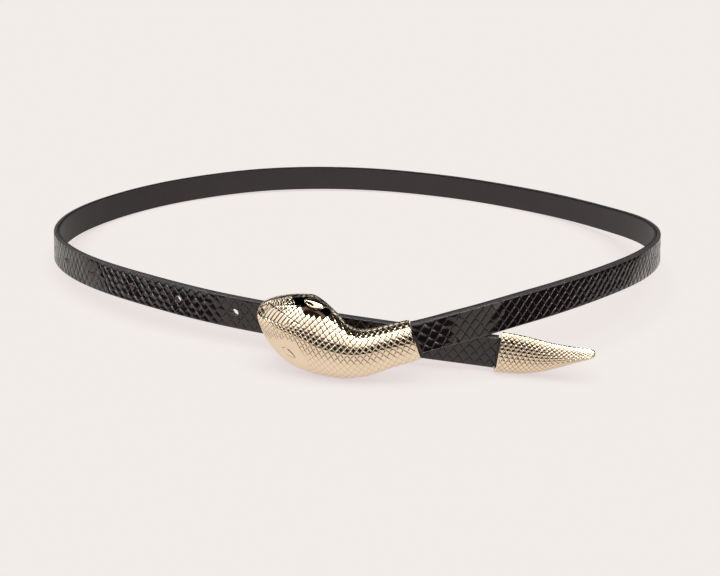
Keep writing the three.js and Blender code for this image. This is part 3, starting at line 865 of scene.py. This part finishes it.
def plate_at(along, arc):
    """Which smooth plate covers a place on the head, if any."""
    for name, outline in (("upper", UPPER_PATCH), ("lower", LOWER_PATCH), ("snout", SNOUT_PLATE)):
        if inside(outline, along, arc):
            return name
    return None


def on_head(spot):
    """Distance along the ridge and up from it, of a spot whose height is a share of the way up."""
    low, high = HEAD_MAP.rims(spot.x)
    return spot.x, low + spot.y * (high - low)


def line_at(line, along, arc):
    """How far along a straight line a place is, how far off it, and how long the line is."""
    start, end = Vector(line[:2]), Vector(line[2:])
    run = (end - start).normalized()
    gone = Vector((along, arc)) - start
    return gone.dot(run), abs(gone.cross(run)), (end - start).length


def needs_detail(along, arc):
    """Whether something finer than the scales is carved at a place on the head."""
    if any(almond(eye, along, arc) > -0.8 for eye in (UPPER_EYE, LOWER_EYE, NOSTRIL)):
        return True
    if plate_at(along, arc) == "snout":
        return True
    places = [line_at(line, along, arc) for line in (*ROPES, *CREASES)]
    return any(-1 < step < length + 1 and off < 1.2 for step, off, length in places)


def carved(along, arc, level):
    """The head's relief with its eyes, nostril, ropes and creases."""
    if plate_at(along, arc) == "snout":
        wave = math.cos(2 * math.pi * (along * HATCH[2] + arc * HATCH[3]) / HATCH[1])
        level -= HATCH[0] * (0.5 + 0.5 * wave) ** 8
    for eye in (UPPER_EYE, LOWER_EYE):
        dome = almond(eye, along, arc)
        if dome > 0:
            level = -0.12 + (eye[5] + 0.12) * ease(dome / 0.25) * (0.55 + 0.45 * dome)
        elif dome > -0.2:
            level -= RING_DEPTH * ease(1 + dome / 0.2)
    slit = almond(PUPIL, along, arc)
    if slit > 0:
        level -= PUPIL_DEPTH * ease(slit / 0.5)
    for rope in ROPES:
        step, off, length = line_at(rope, along, arc)
        if 0 <= step <= length and off < ROPE[0]:
            beads = 0.7 + 0.3 * math.cos(2 * math.pi * step / ROPE[1])
            level = max(level, ROPE[2] * (1 - (off / ROPE[0]) ** 2) * beads - 0.05)
    for crease in CREASES:
        step, off, length = line_at(crease, along, arc)
        if 0 <= step <= length and off < CREASE[0]:
            level = min(level, -CREASE[1] * ease(1 - off / CREASE[0]))
    return level - NOSTRIL_DEPTH * ease(almond(NOSTRIL, along, arc) / 0.6)


class BELT_OT_head(bpy.types.Operator):
    """Build the cast snake's head buckle with its raised scales"""

    bl_idname = "belt.head"
    bl_label = "Snake's head"

    def execute(self, context):
        sizes, colours = context.scene.belt_sizes, context.scene.belt_colours
        gold = gold_finish(colours.gold, colours.painted_shade_and_reflection)
        length = HEAD_MAP.length
        along = [0.0]
        while along[-1] < length:
            along.append(along[-1] + straight(HEAD_SCALES, along[-1], 1))
        count = len(along) - 1
        stretch = length / along[-1]

        def spot(s, t):
            i = min(max(int(s), 0), count - 1)
            a = (along[i] + (along[i + 1] - along[i]) * (s - i)) * stretch
            return a, t * straight(HEAD_SCALES, a, 2)

        kinds = {}
        bows = {}

        def kind(m, n):
            if (m, n) not in kinds:
                kinds[m, n] = plate_at(*spot(m / 2, n / 2))
            return kinds[m, n]

        def bow(arc, cell):
            """How far the head's curve falls away from a flat facet at a spot in a cell."""
            middle = spot(cell[0] / 2, cell[1] / 2)
            if cell not in bows:
                low, here, high = (HEAD_MAP.place(middle[0], middle[1] + step, 0) for step in (-1, 0, 1))
                lower, upper = HEAD_MAP.rims(middle[0])
                inner = lower + 2 < middle[1] < upper - 2
                bows[cell] = inner * (here - (low + high) / 2).length / MM
            return bows[cell] * (arc - middle[1]) ** 2

        def relief(arc, du, dw, cell):
            """Height of a spot of a scale, or of a plate, which has a groove where it meets its neighbours."""
            own = kind(*cell)
            if own:
                m, n = cell
                touching = []
                if abs(du) > 0.499:
                    touching.append(kind(m + round(2 * du), n + round(2 * du)))
                if abs(dw) > 0.499:
                    touching.append(kind(m + round(2 * dw), n - round(2 * dw)))
                return -sizes.scale_height if any(other != own for other in touching) else -PLATE_DEPTH
            high = sizes.scale_height * (0.5 + 0.3 * ease((arc + 4) / 5))
            return high * (tile(du, dw, HEAD_BEVEL)[0] - 1) + FLATTENING * bow(arc, cell)

        def shape(s, t, du, dw, cell):
            a, arc = spot(s, t)
            low, high = HEAD_MAP.rims(a)
            # Painted dark reflection: the smooth upper plate round the eye is painted dark, all but a thin rim along
            # the top
            shade = kind(*cell) == "upper" and high - arc > BRIGHT_RIM
            lean = -CROWN_LEAN * max(arc - CROWN[0], 0) * ease((a - CROWN[1]) / CROWN[2])
            return Vector((a, (arc - low) / (high - low), relief(arc, du, dw, cell))), lean, shade

        bm = scale_sheet(count, -9, 9, HEAD_STOPS, shape)
        for place, direction in (((0, 0, 0), (-1, 0, 0)), ((length, 0, 0), (1, 0, 0)), ((0, 0, 0), (0, -1, 0)),
                                 ((0, 1, 0), (0, 1, 0))):
            trim(bm, place, direction)
        fine = [edge for edge in bm.edges if abs(edge.verts[0].co.x - edge.verts[1].co.x) > DETAIL_EDGE
                and needs_detail(*on_head((edge.verts[0].co + edge.verts[1].co) / 2))]
        bmesh.ops.subdivide_edges(bm, edges=fine, cuts=DETAIL_CUTS, use_grid_fill=True)
        index = bm.verts.layers.float.new("section")
        relief_layer = bm.verts.layers.float.new("relief")
        lean, shade = bm.verts.layers.float["lean"], bm.verts.layers.float["shade"]
        for vert in bm.verts:
            a, arc = on_head(vert.co)
            # The raised eye is left out of the painted dark reflection, and only its pupil slit gets painted shade
            if almond(UPPER_EYE, a, arc) > 0.05:
                vert[shade] = ease(almond(PUPIL, a, arc) / 0.3)
                vert[lean] = -CROWN_LEAN * (UPPER_EYE[1] - CROWN[0])
            low, high = HEAD_MAP.rims(a)
            level = carved(a, arc, vert.co.z)
            vert[relief_layer] = ease(1 + level / (0.6 * sizes.scale_height))
            # Painted shade: the grooves above the ridge and the hollow of the nostril are painted dark
            groove = GROOVE_SHADE * (1 - vert[relief_layer]) * ease((arc - CROWN[0]) / 3)
            vert[shade] = max(vert[shade], groove, ease(almond(NOSTRIL, a, arc) / 0.3))
            near = min(arc - low, high - arc, 1.5 * a, 1.5 * (length - a))
            vert[index] = HEAD_MAP.index(a)
            vert.co = HEAD_MAP.place(a, arc, level * ease((near - 0.25) / 0.7))
        for back in (1.0, 0.7):
            rim = [edge for edge in bm.edges if edge.is_boundary]
            for vert in new_verts(bmesh.ops.extrude_edge_only(bm, edges=rim)):
                section = HEAD_MAP.section(vert[index])
                place, outward = spine_frame((section[0] + section[2]) / 2)
                middle = (place + outward * section[5] * 0.4 - ORIGIN) * MM
                middle.z = (section[1] + section[3]) / 2 * MM
                if vert[index] < 0.01:
                    vert.co += (middle - vert.co).normalized() * 0.5 * MM
                elif back == 1.0:
                    vert.co -= outward * MM
                else:
                    vert.co += Vector((0, 0, math.copysign(0.5 * MM, middle.z - vert.co.z)))
        bmesh.ops.recalc_face_normals(bm, faces=bm.faces[:])

        def shrink(vert):
            if vert.normal.y > 0.3:
                return Vector()
            move = vert.normal * -0.45 * MM
            if vert.normal.x > 0.5:
                move.x = 0
            return move

        carry_body(bm, "head_buckle", shrink)
        head = object_from(bm, "cast_head", [gold])
        smooth_shading(head, 55)
        keep(head, "head_buckle")
        return {"FINISHED"}


class BELT_OT_post(bpy.types.Operator):
    """Give the hidden stud its gold finish"""

    bl_idname = "belt.post"
    bl_label = "Stud"

    def execute(self, context):
        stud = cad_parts["hook_post"]
        colours = context.scene.belt_colours
        gold = gold_finish(colours.gold, colours.painted_shade_and_reflection)
        stud.data.materials.clear()
        stud.data.materials.append(gold)
        return {"FINISHED"}


class BELT_OT_tail(bpy.types.Operator):
    """Build the cast tail tip with its raised scales"""

    bl_idname = "belt.tail"
    bl_label = "Tail tip"

    def execute(self, context):
        sizes, colours = context.scene.belt_sizes, context.scene.belt_colours
        gold = gold_finish(colours.gold, colours.painted_shade_and_reflection)
        length = TAIL[-1][0]

        def shape(s, t, du, dw, cell):
            share = s / TAIL_COLUMNS
            fade = ease(s / 0.35) * ease((TAIL_COLUMNS - s) / 1.5)
            body, reach = tile(du, dw, TAIL_BEVEL)
            high = sizes.scale_height * (1.1 - 0.4 * share) * (body - 0.75 - 0.2 * reach * reach)
            along = length * (1.12 * share - 0.12 * share**2)
            return Vector((along, t, fade * high)), 0, 0

        bm = scale_sheet(TAIL_COLUMNS, 0, TAIL_AROUND, TAIL_STOPS, shape)
        relief, shade = bm.verts.layers.float.new("relief"), bm.verts.layers.float["shade"]
        trim(bm, (0, 0, 0), (-1, 0, 0))
        trim(bm, (length, 0, 0), (1, 0, 0))
        for vert in bm.verts:
            turn = vert.co.y / TAIL_AROUND
            vert[relief] = ease(1 + vert.co.z / (0.5 * sizes.scale_height))
            # Painted shade: the grooves on the upper part of the tail are painted dark
            vert[shade] = TAIL_GROOVE_SHADE * (1 - vert[relief]) * ease((turn - 0.4) / 0.2)
            vert.co = tail_point(vert.co.x, turn, vert.co.z)
        bmesh.ops.remove_doubles(bm, verts=bm.verts, dist=2e-6)
        mouth, point = (sum((tail_point(end, k / 8, 0) for k in range(8)), Vector()) / 8 for end in (0, length))
        forward = (point - mouth).normalized()
        for end, steps in ((mouth, MOUTH_STEPS), (point, POINT_STEPS)):
            for share, ahead in steps:
                rim = [edge for edge in bm.edges if edge.is_boundary and (edge.verts[0].co - end).length < 15 * MM]
                for vert in new_verts(bmesh.ops.extrude_edge_only(bm, edges=rim)):
                    vert.co += (end - vert.co) * share + forward * ahead * MM
        bmesh.ops.remove_doubles(bm, verts=bm.verts, dist=2e-6)
        bmesh.ops.recalc_face_normals(bm, faces=bm.faces[:])
        centre = (mouth + point) / 2

        def shrink(vert):
            if (vert.co - centre).dot(vert.normal) < 0:
                return Vector()
            move = vert.normal * -0.4 * MM
            return move - forward * min(move.dot(forward), 0) if vert.normal.dot(forward) < -0.3 else move

        carry_body(bm, "tail_tip", shrink)
        tail = object_from(bm, "cast_tail", [gold])
        smooth_shading(tail, 55)
        keep(tail, "tail_tip")
        return {"FINISHED"}


def soft_light(name, place, aim, size, brightness):
    """A rectangular softbox that only shows as a reflection."""
    data = bpy.data.lights.new(name, "AREA")
    data.shape = "RECTANGLE"
    data.size, data.size_y = size
    data.energy = math.pi * size[0] * size[1] * brightness
    light = bpy.data.objects.new(name, data)
    light.location = place
    light.rotation_euler = (Vector(aim) - Vector(place)).to_track_quat("-Z", "Y").to_euler()
    light.visible_diffuse = False
    bpy.context.scene.collection.objects.link(light)


class BELT_OT_stage(bpy.types.Operator):
    """Set the pale floor, the soft lights and the camera"""

    bl_idname = "belt.stage"
    bl_label = "Stage"

    def execute(self, context):
        colours = context.scene.belt_colours
        paint = floor_finish(colours.floor, colours.floor_glow)
        for name, near, far in FLOORS:
            bm = bmesh.new()
            spread = Matrix.Translation((0, (near + far) / 2, 0)) @ Matrix.Diagonal((FLOOR_WIDTH, far - near, 1, 1))
            bmesh.ops.create_grid(bm, x_segments=1, y_segments=1, size=0.5, matrix=spread)
            floor = object_from(bm, name, [paint])
            floor.visible_glossy = name == "floor"
        world = bpy.data.worlds.new("studio")
        world.use_nodes = True
        world.node_tree.nodes["Background"].inputs["Color"].default_value = (0.9, 0.87, 0.86, 1)
        world.node_tree.nodes["Background"].inputs["Strength"].default_value = 0.02
        context.scene.world = world
        for light in LIGHTS:
            soft_light(*light)
        sky = bpy.data.lights.new("sky", "SUN")
        sky.energy = SKY[0]
        sky.angle = math.radians(SKY[1])
        top = bpy.data.objects.new("sky", sky)
        top.rotation_euler = (math.radians(SKY[2]), 0, 0)
        top.visible_glossy = False
        context.scene.collection.objects.link(top)
        data = bpy.data.cameras.new("camera")
        data.lens = CAMERA_LENS
        data.sensor_width = 36
        data.clip_start = 0.01
        camera = bpy.data.objects.new("camera", data)
        camera.location = (Vector((0, 0, CAMERA_HEIGHT)) - ORIGIN) * MM
        camera.rotation_euler = (math.radians(90 - CAMERA_DOWN), 0, 0)
        context.scene.collection.objects.link(camera)
        context.scene.camera = camera
        context.scene.view_settings.view_transform = "Standard"
        context.scene.cycles.caustics_reflective = False
        return {"FINISHED"}


class BELT_PT_panel(bpy.types.Panel):
    bl_label = "Belt"
    bl_idname = "BELT_PT_panel"
    bl_space_type = "VIEW_3D"
    bl_region_type = "UI"
    bl_category = "Belt"

    def draw(self, context):
        for operator in OPERATORS:
            self.layout.operator(operator.bl_idname)
        for group in (context.scene.belt_sizes, context.scene.belt_colours):
            for name in group.__annotations__:
                self.layout.prop(group, name)


OPERATORS = (
    BELT_OT_strap_face, BELT_OT_lining, BELT_OT_head, BELT_OT_post, BELT_OT_tail, BELT_OT_stage,
)
CLASSES = (BELT_PG_sizes, BELT_PG_colours, *OPERATORS, BELT_PT_panel)


def register():
    for cls in CLASSES:
        bpy.utils.register_class(cls)
    bpy.types.Scene.belt_sizes = PointerProperty(type=BELT_PG_sizes)
    bpy.types.Scene.belt_colours = PointerProperty(type=BELT_PG_colours)


def unregister():
    del bpy.types.Scene.belt_colours
    del bpy.types.Scene.belt_sizes
    for cls in reversed(CLASSES):
        bpy.utils.unregister_class(cls)


def main():
    register()
    bpy.ops.belt.strap_face()
    bpy.ops.belt.lining()
    bpy.ops.belt.head()
    bpy.ops.belt.post()
    bpy.ops.belt.tail()
    bpy.ops.belt.stage()


if __name__ == "__main__":
    main()
